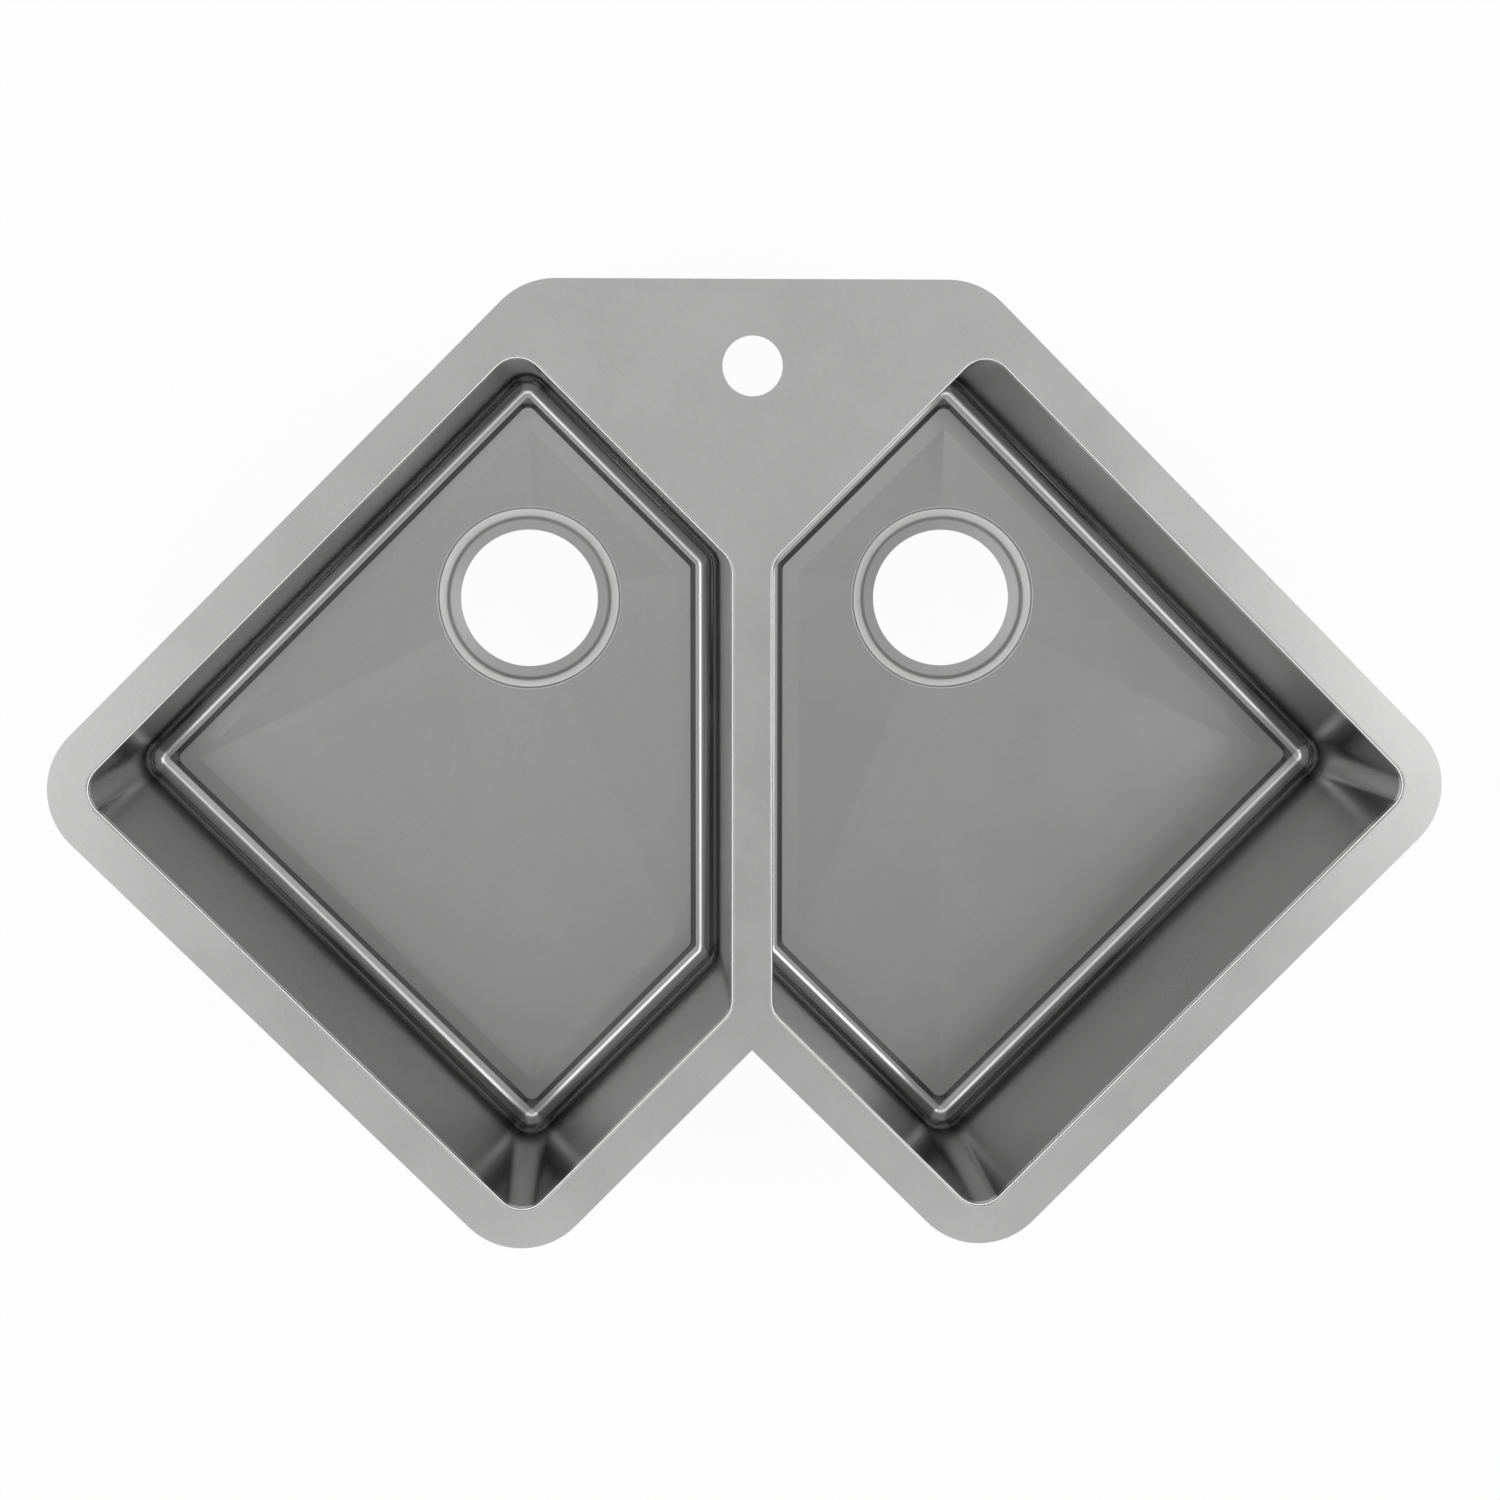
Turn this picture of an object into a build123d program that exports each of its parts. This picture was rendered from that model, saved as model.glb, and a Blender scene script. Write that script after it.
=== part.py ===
from build123d import *
import os
from math import sqrt

# Double-bowl corner kitchen sink in stainless steel, in millimetres, +Z up.
# The origin is the centre of the bridge between the bowls, on the deck's top face.
# +X runs to the right-hand bowl and +Y to the back edge, behind the tap hole.
# Each bowl is a square turned by 45 degrees and cut off along the bridge. The right-hand
# bowl is drawn first, and the left-hand one is its mirror image.

# bowls
bowl_width = 362.5            # inside, across the flats of the square
bowl_pitch = 272.5            # between the centres of the two squares
bowl_depth = 216.0            # deck's top face to the level edge of the floor
bowl_sheet = 1.2
bowl_corner_radius = 16.0     # upright corners, inside
floor_edge_radius = 13.6      # sweep from wall to the groove round the floor, inside
groove_depth = 0.6            # groove's bottom below the level edge of the floor
groove_flank = 5.6            # groove's bottom to the level edge of the floor, in plan
groove_corner_radius = 9.0    # flank's foot, in plan
floor_margin = 9.3            # level band between the groove and the creases
floor_fall = 3.0              # from the level band down to the drain's axis

# drains
drain_setback = 104.2         # drain's axis behind the line through the bowls' centres
drain_hole_radius = 45.0
drain_seat_width = 9.0        # sloping seat round the hole
drain_seat_fall = 2.0         # seat's outer edge down to the hole
drain_wall_run = 5.5          # seat's outer edge out to the lip, where the recess leaves the floor
drain_recess_depth = 8.0      # lowest point of the creased floor down to the seat's outer edge
drain_lip_round = 3.0
drain_foot_round = 2.5

# deck
deck_sheet = 1.2
bridge_width = 25.0           # between the facing walls of the two bowls
flange_width = 25.2           # bowl wall to the deck's outer edge
back_edge = 296.0             # back edge behind the line through the bowls' centres
deck_corner_radius = 44.5
rim_round = 1.5               # rolled edge round each bowl opening
collar_depth = 6.0            # deck's top face to the weld below the turned-down collar
tap_hole_radius = 17.5
tap_hole_inset = 50.0         # back edge to the tap hole's axis

# plate that stiffens the thin deck from below, round the tap hole
stiffener_sheet = 3.0
stiffener_width = 200.0
stiffener_length = 76.0
stiffener_corner_radius = 8.0
stiffener_hole_clearance = 2.0
stiffener_collar_gap = 8.0    # collars to the plate's edge

# sound-deadening pads on the outside of the bowls
pad_sheet = 4.0
pad_corner_radius = 6.0
wall_pad_height = 110.0
long_wall_pad = 230.0
short_wall_pad = 110.0
floor_pad_margin = 42.0       # bowl wall to the edge of the pad under the floor
floor_pad_drain_gap = 12.0    # drain recess to that pad

bowl_centre = bowl_pitch / 2
floor_inset = floor_edge_radius + groove_flank
creased_level = -(bowl_depth + floor_fall)
seat_level = creased_level - drain_recess_depth
hole_level = seat_level - drain_seat_fall
drain_seat_radius = drain_hole_radius + drain_seat_width
drain_lip_radius = drain_seat_radius + drain_wall_run
drain_axis = Axis((bowl_centre, drain_setback, 0), (0, 0, 1))
drain_section = Plane(origin=(bowl_centre, drain_setback, 0), x_dir=(1, 0, 0), z_dir=(0, -1, 0))
tap_hole_centre = (0, back_edge - tap_hole_inset)


def save(piece, name):
    """Label a finished piece and write its STEP file."""
    piece.part.label = name
    export_step(piece.part, f"parts/{name}.step")


def bowl_corners(inset):
    """Corners of the right-hand bowl's plan, anticlockwise, with its walls moved inwards by inset."""
    reach = (bowl_width / 2 - inset) * sqrt(2)
    cut = bridge_width / 2 + inset
    cut_reach = reach - (bowl_centre - cut)
    outer = (bowl_centre + reach, 0)
    back = (bowl_centre, reach)
    front = (bowl_centre, -reach)
    return [outer, back, (cut, cut_reach), (cut, -cut_reach), front]


def deck_corners():
    """Corners of the deck's outline, anticlockwise from the notch at the front."""
    reach = (bowl_width / 2 + flange_width) * sqrt(2)
    side = bowl_centre + reach
    notch = (0, bowl_centre - reach)
    right = [(bowl_centre, -reach), (side, 0), (side - back_edge, back_edge)]
    left = [(-x, y) for x, y in reversed(right)]
    return [notch] + right + left


def bowl_plan(skin):
    """Rounded plan of the right-hand bowl, skin outside its inner face."""
    with BuildSketch() as plan:
        with BuildLine():
            Polyline(*bowl_corners(-skin), close=True)
        make_face()
        fillet(plan.vertices(), bowl_corner_radius + skin)
    return plan.sketch


def creased_floor(skin):
    """Block over the creased part of the floor: five flat slopes that meet at the drain's axis."""
    level = -(bowl_depth + skin)
    corners = [Vector(x, y, level) for x, y in bowl_corners(floor_inset + floor_margin)]
    low_point = Vector(bowl_centre, drain_setback, level - floor_fall)
    with BuildPart() as block:
        with BuildSketch(Plane.XY.offset(low_point.Z)):
            with BuildLine():
                Polyline(*corners, close=True)
            make_face()
        extrude(amount=floor_fall + floor_edge_radius)
        for start, end in zip(corners, corners[1:] + corners[:1]):
            along = end - start
            split(bisect_by=Plane(origin=start, x_dir=along, z_dir=along.cross(low_point - start)))
    return block.part


def floor_panel(skin):
    """Block that the groove surrounds, from the groove's bottom up to the level edge of the floor."""
    with BuildPart() as panel:
        for inset, level in ((floor_edge_radius, -(bowl_depth + groove_depth)), (floor_inset, -bowl_depth)):
            with BuildSketch(Plane.XY.offset(level - skin)) as outline:
                with BuildLine():
                    Polyline(*bowl_corners(inset), close=True)
                make_face()
                fillet(outline.vertices(), groove_corner_radius + floor_edge_radius - inset)
        loft()
    return panel.part


def drain_recess(skin):
    """Turned solid of the drain recess, skin outside its inner face."""
    top_level = floor_edge_radius - bowl_depth
    slope = drain_wall_run / (drain_recess_depth + floor_fall / 2)
    top_radius = drain_seat_radius + slope * (top_level - seat_level)
    with BuildPart() as recess:
        with BuildSketch(drain_section) as section:
            with BuildLine():
                Polyline(
                    (0, top_level),
                    (top_radius, top_level),
                    (drain_seat_radius, seat_level),
                    (drain_hole_radius, hole_level),
                    (0, hole_level),
                    close=True,
                )
            make_face()
            foot = drain_section.from_local_coords((drain_seat_radius, seat_level, 0))
            fillet(section.vertices().sort_by_distance(foot)[0], drain_foot_round)
            if skin > 0:
                offset(amount=skin, kind=Kind.INTERSECTION)
                with Locations((0, -bowl_depth)):
                    Rectangle(bowl_width, bowl_width, align=(Align.MAX, Align.CENTER), mode=Mode.SUBTRACT)
        revolve(axis=drain_axis)
    return recess.part


def bowl_form(skin):
    """The right-hand bowl's hollow with no skin, or with its sheet as skin the bowl's outside."""
    plan = bowl_plan(skin)
    panel = floor_panel(skin)
    slopes = creased_floor(skin)
    recess = drain_recess(skin)
    groove_level = -(bowl_depth + groove_depth + skin)
    with BuildPart() as form:
        with BuildSketch(Plane.XY.offset(groove_level)):
            add(plan)
        extrude(amount=-collar_depth - groove_level)
        fillet(form.faces().sort_by(Axis.Z)[0].edges(), floor_edge_radius + skin)
        add(panel, mode=Mode.SUBTRACT)
        add(slopes)
        floor_edges = form.edges()
        add(recess)
        if skin == 0:
            lip = (form.edges() - floor_edges).filter_by(GeomType.ELLIPSE).sort_by(Axis.X)
            fillet(lip, drain_lip_round)
    return form.part


def wall_pad(start, end, length):
    """Pad on the outside of the wall between two corners of the bowl's plan."""
    along = (Vector(*end) - Vector(*start)).normalized()
    outward = along.cross(Vector(0, 0, 1))
    middle = (Vector(*start) + Vector(*end)) / 2 - Vector(0, 0, bowl_depth / 2)
    with BuildPart() as pad:
        with BuildSketch(Plane(origin=middle, x_dir=along, z_dir=outward)):
            RectangleRounded(length, wall_pad_height, pad_corner_radius)
        extrude(amount=pad_sheet)
    return pad.part


def floor_pad():
    """Pad under the creased floor, in front of the drain, as thick as its sheet along the slopes."""
    glued_face = creased_floor(bowl_sheet)
    lower_face = creased_floor(bowl_sheet + pad_sheet)
    back_limit = drain_setback - drain_lip_radius - floor_pad_drain_gap
    with BuildPart() as pad:
        with BuildSketch(Plane.XY.offset(-(bowl_depth + bowl_sheet))) as outline:
            with BuildLine():
                Polyline(*bowl_corners(floor_pad_margin), close=True)
            make_face()
            with Locations((bowl_centre, back_limit)):
                Rectangle(bowl_width * 2, bowl_width, align=(Align.CENTER, Align.MIN), mode=Mode.SUBTRACT)
            fillet(outline.vertices(), pad_corner_radius)
        extrude(amount=-(floor_fall + pad_sheet))
        add(lower_face, mode=Mode.INTERSECT)
        add(glued_face, mode=Mode.SUBTRACT)
    return pad.part


os.makedirs("parts", exist_ok=True)

# deck: one pressed sheet with a collar turned down into each bowl
opening = bowl_plan(0)
collar = bowl_plan(deck_sheet)
with BuildPart() as deck:
    with BuildSketch() as outline:
        with BuildLine():
            Polyline(*deck_corners(), close=True)
        make_face()
        fillet(outline.vertices().sort_by_distance(deck_corners()[0])[1:], deck_corner_radius)
    extrude(amount=-deck_sheet)
    with BuildSketch():
        add(collar)
        mirror(about=Plane.YZ)
    extrude(amount=-collar_depth)
    with BuildSketch():
        add(opening)
        mirror(about=Plane.YZ)
    extrude(amount=-collar_depth, mode=Mode.SUBTRACT)
    rims = deck.faces().sort_by(Axis.Z)[-1].inner_wires()
    fillet(rims.edges(), rim_round)
    with Locations(tap_hole_centre):
        Hole(tap_hole_radius)
save(deck, "deck")

# bowls: drawn sheet, welded below the collars
hollow = bowl_form(0)
outside = bowl_form(bowl_sheet)
with BuildPart() as right_bowl:
    add(outside)
    add(hollow, mode=Mode.SUBTRACT)
    with Locations((bowl_centre, drain_setback, hole_level)):
        Hole(drain_hole_radius)
save(right_bowl, "right_bowl")

with BuildPart() as left_bowl:
    mirror(right_bowl.part, about=Plane.YZ)
save(left_bowl, "left_bowl")

# stiffener: flat plate welded under the deck, between the collars
collar_surround = bowl_plan(deck_sheet + stiffener_collar_gap + stiffener_corner_radius)
with BuildPart() as tap_stiffener:
    with BuildSketch(Plane.XY.offset(-deck_sheet)):
        with Locations(tap_hole_centre):
            Rectangle(stiffener_width - 2 * stiffener_corner_radius, stiffener_length - 2 * stiffener_corner_radius)
        add(collar_surround, mode=Mode.SUBTRACT)
        mirror(collar_surround, about=Plane.YZ, mode=Mode.SUBTRACT)
        offset(amount=stiffener_corner_radius)
        with Locations(tap_hole_centre):
            Circle(tap_hole_radius + stiffener_hole_clearance, mode=Mode.SUBTRACT)
    extrude(amount=-stiffener_sheet)
save(tap_stiffener, "tap_stiffener")

# pads: one on each wall but the one by the bridge, and one under each floor
outer, back, back_inner, front_inner, front = bowl_corners(-bowl_sheet)
pads = {
    "back_outer_pad": wall_pad(outer, back, long_wall_pad),
    "back_inner_pad": wall_pad(back, back_inner, short_wall_pad),
    "front_inner_pad": wall_pad(front_inner, front, short_wall_pad),
    "front_outer_pad": wall_pad(front, outer, long_wall_pad),
    "floor_pad": floor_pad(),
}
for name, shape in pads.items():
    with BuildPart() as right_pad:
        add(shape)
    save(right_pad, f"right_{name}")
    with BuildPart() as left_pad:
        mirror(shape, about=Plane.YZ)
    save(left_pad, f"left_{name}")
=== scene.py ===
"""Corner kitchen sink: the dressed model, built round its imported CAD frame.

Every length is in metres, in the frame of the CAD model: the origin is the centre of the
bridge between the bowls on the deck's top face, +X runs to the right-hand bowl, +Y to the
back edge behind the tap hole, and +Z upwards.
"""

import logging
import math
from collections.abc import Callable, Sequence
from dataclasses import dataclass, field
from enum import Enum

import bmesh
import bpy
from mathutils import Matrix, Vector

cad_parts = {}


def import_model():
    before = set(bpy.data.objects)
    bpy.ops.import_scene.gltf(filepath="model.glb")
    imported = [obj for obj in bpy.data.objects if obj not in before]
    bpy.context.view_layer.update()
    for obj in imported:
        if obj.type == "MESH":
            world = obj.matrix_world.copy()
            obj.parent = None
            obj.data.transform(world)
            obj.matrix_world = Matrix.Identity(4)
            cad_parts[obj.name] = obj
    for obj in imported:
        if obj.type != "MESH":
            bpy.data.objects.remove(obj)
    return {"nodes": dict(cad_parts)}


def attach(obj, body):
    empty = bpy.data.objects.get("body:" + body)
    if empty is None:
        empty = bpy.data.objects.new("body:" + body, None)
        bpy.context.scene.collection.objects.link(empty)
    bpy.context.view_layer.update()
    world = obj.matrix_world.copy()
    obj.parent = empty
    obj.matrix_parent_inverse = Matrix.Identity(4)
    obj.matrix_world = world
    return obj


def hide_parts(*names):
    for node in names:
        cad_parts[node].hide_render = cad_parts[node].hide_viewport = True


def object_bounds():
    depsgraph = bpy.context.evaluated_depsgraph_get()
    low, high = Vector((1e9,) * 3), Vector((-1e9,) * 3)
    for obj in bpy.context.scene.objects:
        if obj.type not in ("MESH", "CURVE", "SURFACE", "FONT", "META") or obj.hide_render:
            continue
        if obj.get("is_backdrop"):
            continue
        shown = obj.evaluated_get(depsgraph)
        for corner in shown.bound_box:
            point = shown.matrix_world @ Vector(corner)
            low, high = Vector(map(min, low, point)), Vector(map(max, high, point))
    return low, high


LOG = logging.getLogger("sink")
BODY = "root"
MM = 0.001
UP = Vector((0, 0, 1))
QUARTER_TURN = math.pi / 2
FULL_TURN = 2 * math.pi
# Points closer than this count as one.
MERGE_DISTANCE = 0.004 * MM
# A face whose normal has a greater Z than this is level.
LEVEL_NORMAL = 0.9999
# A face whose normal has less Z than this, either way up, is upright.
UPRIGHT_NORMAL = 0.001
# Edges flatter than this are shaded smooth, in degrees.
SMOOTH_ANGLE = 30.0
# Profile of a bevel that makes a quarter circle.
ROUND_PROFILE = 0.5
# Most of a noise texture's values lie in this span.
NOISE_SPAN = (0.3, 0.7)


class Side(Enum):
    """The two halves of the sink, with the sign of their X."""

    LEFT = -1
    RIGHT = 1


class DeckZone(Enum):
    """Parts of the deck with their own polish, as its material slots in order; the rim's near-white tone is
    a painted highlight.
    """

    TOP = 0
    RIM = 1


class BowlZone(Enum):
    """Parts of a bowl's sheet with their own polish, as its material slots in order; their tones are painted
    shade on the walls and groove, a painted highlight on the sweep and a painted sheen in the drain recess.
    """

    FLOOR = 0
    WALL = 1
    SWEEP = 2
    GROOVE = 3
    DRAIN = 4
    BACK = 5


class Part(Enum):
    """What an edit-mode selection is made of."""

    VERTS = "VERT"
    EDGES = "EDGE"
    FACES = "FACE"


@dataclass(frozen=True)
class SinkSizes:
    """Driving sizes of the sink, as in the CAD model, in metres."""

    bowl_width: float = 362.5 * MM
    bowl_pitch: float = 272.5 * MM
    bowl_depth: float = 216.0 * MM
    bowl_sheet: float = 1.2 * MM
    bowl_corner_radius: float = 16.0 * MM
    floor_edge_radius: float = 13.6 * MM
    groove_flank: float = 5.6 * MM
    groove_corner_radius: float = 9.0 * MM
    floor_margin: float = 9.3 * MM
    floor_fall: float = 3.0 * MM
    drain_setback: float = 104.2 * MM
    drain_hole_radius: float = 45.0 * MM
    drain_seat_width: float = 9.0 * MM
    drain_seat_fall: float = 2.0 * MM
    drain_wall_run: float = 5.5 * MM
    drain_recess_depth: float = 8.0 * MM
    deck_sheet: float = 1.2 * MM
    bridge_width: float = 25.0 * MM
    flange_width: float = 25.2 * MM
    back_edge: float = 296.0 * MM
    deck_corner_radius: float = 44.5 * MM
    collar_depth: float = 6.0 * MM
    tap_hole_radius: float = 17.5 * MM
    tap_hole_inset: float = 50.0 * MM

    @property
    def bowl_centre(self) -> float:
        """X of the right-hand square's centre."""
        return self.bowl_pitch / 2

    @property
    def deck_reach(self) -> float:
        """A bowl's centre to the corner of the deck's square round it."""
        return (self.bowl_width / 2 + self.flange_width) * math.sqrt(2)

    @property
    def tap_hole(self) -> Vector:
        """Centre of the tap hole on the deck's top face."""
        return Vector((0, self.back_edge - self.tap_hole_inset, 0))

    @property
    def floor_inset(self) -> float:
        """Bowl wall to the level edge of the floor, in plan."""
        return self.floor_edge_radius + self.groove_flank

    @property
    def drain_foot(self) -> Vector:
        """Lowest point of the creased floor, on the right-hand drain's axis."""
        return Vector((self.bowl_centre, self.drain_setback, -(self.bowl_depth + self.floor_fall)))

    @property
    def recess_wall_depth(self) -> float:
        """Mean depth of the recess's sloping wall, since its lip follows the floor's slopes."""
        return self.drain_recess_depth + self.floor_fall / 2

    def bowl_corners(self, inset: float, level: float) -> list[Vector]:
        """Corners of the right-hand bowl's plan, anticlockwise from the outer one.

        Args:
            inset: How far the walls are moved inwards.
            level: Z of the corners.

        Returns:
            The five corners.
        """
        reach = (self.bowl_width / 2 - inset) * math.sqrt(2)
        cut = self.bridge_width / 2 + inset
        cut_reach = reach - (self.bowl_centre - cut)
        plan = [
            (self.bowl_centre + reach, 0),
            (self.bowl_centre, reach),
            (cut, cut_reach),
            (cut, -cut_reach),
            (self.bowl_centre, -reach),
        ]
        return [Vector((x, y, level)) for x, y in plan]

    def deck_corners(self) -> list[Vector]:
        """Corners of the deck's outline, anticlockwise from the notch at the front.

        Returns:
            The seven corners, level with the deck's top face.
        """
        side = self.bowl_centre + self.deck_reach
        right = [(self.bowl_centre, -self.deck_reach), (side, 0), (side - self.back_edge, self.back_edge)]
        left = [(-x, y) for x, y in reversed(right)]
        notch = (0, self.bowl_centre - self.deck_reach)
        return [Vector((x, y, 0)) for x, y in [notch] + right + left]


def arc_segments(angle: float, steps: int) -> int:
    """Segments of an arc, in proportion to those of a quarter turn."""
    return max(2, round(steps * angle / QUARTER_TURN))


@dataclass(frozen=True)
class Turn:
    """One corner of a traced line, with the directions of the line before and after it."""

    corner: Vector
    before: Vector
    after: Vector
    angle: float
    radius: float

    @property
    def arrival(self) -> Vector:
        """Where the arc starts."""
        return self.corner - self.before * self.radius * math.tan(self.angle / 2)

    @property
    def departure(self) -> Vector:
        """Where the arc ends."""
        return self.corner + self.after * self.radius * math.tan(self.angle / 2)

    @property
    def centre(self) -> Vector:
        """Centre of the arc."""
        inwards = (self.after - self.before * self.after.dot(self.before)).normalized()
        return self.arrival + inwards * self.radius

    @property
    def axis(self) -> Vector:
        """Axis of the arc, square to its plane."""
        return self.before.cross(self.after).normalized()


def clear_bench() -> None:
    """Leave edit mode and deselect everything."""
    if bpy.context.object is not None and bpy.context.object.mode != "OBJECT":
        bpy.ops.object.mode_set(mode="OBJECT")
    bpy.ops.object.select_all(action="DESELECT")


class Bench:
    """One mesh object on the bench, shaped in edit mode with Blender's own operators."""

    def __init__(self, piece: bpy.types.Object, name: str) -> None:
        """Put a piece on the bench, in edit mode.

        Args:
            piece: The piece.
            name: The name that it and its mesh get.
        """
        self.piece = piece
        piece.name = name
        piece.data.name = name
        self.open_edit()

    @classmethod
    def empty(cls, name: str) -> "Bench":
        """Start a piece from a small plane, which the first traced line replaces.

        Args:
            name: The piece's name.

        Returns:
            The bench that holds it.
        """
        clear_bench()
        bpy.ops.mesh.primitive_plane_add(size=MM, location=(0, 0, 0))
        bench = cls(bpy.context.object, name)
        bpy.ops.mesh.select_all(action="SELECT")
        bpy.ops.mesh.delete(type="VERT")
        return bench

    def copy(self, name: str) -> "Bench":
        """Copy the piece, with a mesh of its own.

        Args:
            name: The copy's name.

        Returns:
            The bench that holds the copy.
        """
        clear_bench()
        self.piece.select_set(True)
        bpy.context.view_layer.objects.active = self.piece
        bpy.ops.object.duplicate()
        return Bench(bpy.context.object, name)

    def open_edit(self) -> None:
        """Enter edit mode on this piece alone."""
        clear_bench()
        self.piece.select_set(True)
        bpy.context.view_layer.objects.active = self.piece
        bpy.ops.object.mode_set(mode="EDIT")

    def mesh(self) -> bmesh.types.BMesh:
        """The edit mesh, with its tables ready for indexing.

        Returns:
            The mesh, which holds until the next operator changes it.
        """
        shape = bmesh.from_edit_mesh(self.piece.data)
        for table in (shape.verts, shape.edges, shape.faces):
            table.ensure_lookup_table()
        return shape

    def pick(self, part: Part, test: Callable[[object], bool]) -> None:
        """Select what a test accepts, and nothing else.

        Args:
            part: Whether vertices, edges or faces are tested.
            test: Says whether one of them is wanted.
        """
        bpy.ops.mesh.select_mode(type=part.value)
        bpy.ops.mesh.select_all(action="DESELECT")
        shape = self.mesh()
        tables = {Part.VERTS: shape.verts, Part.EDGES: shape.edges, Part.FACES: shape.faces}
        for item in tables[part]:
            if test(item):
                item.select_set(True)
        shape.select_flush_mode()
        bmesh.update_edit_mesh(self.piece.data)

    def trace(
            self, corners: Sequence[Vector], radii: Sequence[float], steps: int,
            closed: bool = True) -> None:
        """Draw a line with rounded corners by extruding and spinning one vertex.

        Args:
            corners: The line's corners, in order.
            radii: One radius for each corner, nought for a sharp one.
            steps: Segments in a quarter turn.
            closed: Whether the line returns to its start.
        """
        turns = []
        for index, (corner, radius) in enumerate(zip(corners, radii)):
            before = (corner - corners[index - 1]).normalized()
            after = (corners[(index + 1) % len(corners)] - corner).normalized()
            if not closed and index in (0, len(corners) - 1):
                turns.append(Turn(corner, before, after, 0.0, 0.0))
            else:
                turns.append(Turn(corner, before, after, before.angle(after), radius))
        start = turns[0].arrival
        bpy.ops.mesh.select_mode(type="VERT")
        bpy.ops.mesh.select_all(action="DESELECT")
        bpy.ops.mesh.primitive_plane_add(size=MM, location=start)
        bpy.ops.mesh.merge(type="CENTER")
        here = start
        for turn in turns:
            if (turn.arrival - here).length > MERGE_DISTANCE:
                self.extrude(turn.arrival - here)
            here = turn.arrival
            if turn.radius > 0:
                self.spin(turn.centre, turn.axis, turn.angle, arc_segments(turn.angle, steps))
                here = turn.departure
        if closed:
            self.extrude(start - here)
        self.weld()

    def extrude(self, move: Vector) -> None:
        """Extrude what is selected along a vector."""
        bpy.ops.mesh.extrude_region_move(TRANSFORM_OT_translate={"value": move, "orient_type": "GLOBAL"})

    def spin(self, centre: Vector, axis: Vector, angle: float, steps: int) -> None:
        """Spin what is selected about an axis, anticlockwise when the axis points at the viewer."""
        bpy.ops.mesh.spin(steps=steps, angle=-angle, center=centre, axis=axis)

    def weld(self) -> None:
        """Merge the vertices that lie on each other."""
        bpy.ops.mesh.select_mode(type="VERT")
        bpy.ops.mesh.select_all(action="SELECT")
        bpy.ops.mesh.remove_doubles(threshold=MERGE_DISTANCE)

    def border(self, level: float | None = None) -> None:
        """Select the open edges, all of them or those that lie at one level.

        Args:
            level: Z of the wanted edges, or nothing for edges at any level.
        """
        def wanted(edge: bmesh.types.BMEdge) -> bool:
            """Whether an edge is open and lies at the level."""
            return len(edge.link_faces) < 2 and (level is None or lies_at(edge, level))
        self.pick(Part.EDGES, wanted)

    def face_side(self, point: Vector, direction: Vector) -> None:
        """Make the normals agree, with those nearest a point along a direction.

        Args:
            point: A point by the face that decides.
            direction: Which way that face has to look.
        """
        bpy.ops.mesh.select_mode(type="FACE")
        bpy.ops.mesh.select_all(action="SELECT")
        bpy.ops.mesh.normals_make_consistent(inside=False)
        nearest = min(self.mesh().faces, key=lambda face: (face.calc_center_median() - point).length)
        if nearest.normal.dot(direction) < 0:
            bpy.ops.mesh.flip_normals()

    def finish(self, sheet: float, back_slot: int, edge_slot: int) -> bpy.types.Object:
        """Leave edit mode, give the skin its sheet behind it and set its shading.

        The slots are made first, because without them the sheet's back gets no finish of its own.

        Args:
            sheet: Thickness of the sheet.
            back_slot: How many material slots further on the back of the sheet has its finish.
            edge_slot: The same for the cut edges.

        Returns:
            The finished piece.
        """
        bpy.ops.object.mode_set(mode="OBJECT")
        for _ in range(back_slot + 1):
            self.piece.data.materials.append(None)
        wall = self.piece.modifiers.new("sheet", "SOLIDIFY")
        wall.thickness = sheet
        wall.offset = -1
        wall.use_even_offset = True
        wall.material_offset = back_slot
        wall.material_offset_rim = edge_slot
        bpy.ops.object.modifier_apply(modifier=wall.name)
        bpy.ops.object.shade_smooth_by_angle(angle=math.radians(SMOOTH_ANGLE))
        weigh = self.piece.modifiers.new("weigh", "WEIGHTED_NORMAL")
        weigh.keep_sharp = True
        bpy.ops.object.modifier_apply(modifier=weigh.name)
        return self.piece


def lies_at(edge: bmesh.types.BMEdge, level: float) -> bool:
    """Whether both ends of an edge lie at one level."""
    return all(abs(vert.co.z - level) < MERGE_DISTANCE for vert in edge.verts)


def middle_of(edge: bmesh.types.BMEdge) -> Vector:
    """The middle of an edge."""
    return (edge.verts[0].co + edge.verts[1].co) / 2


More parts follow.
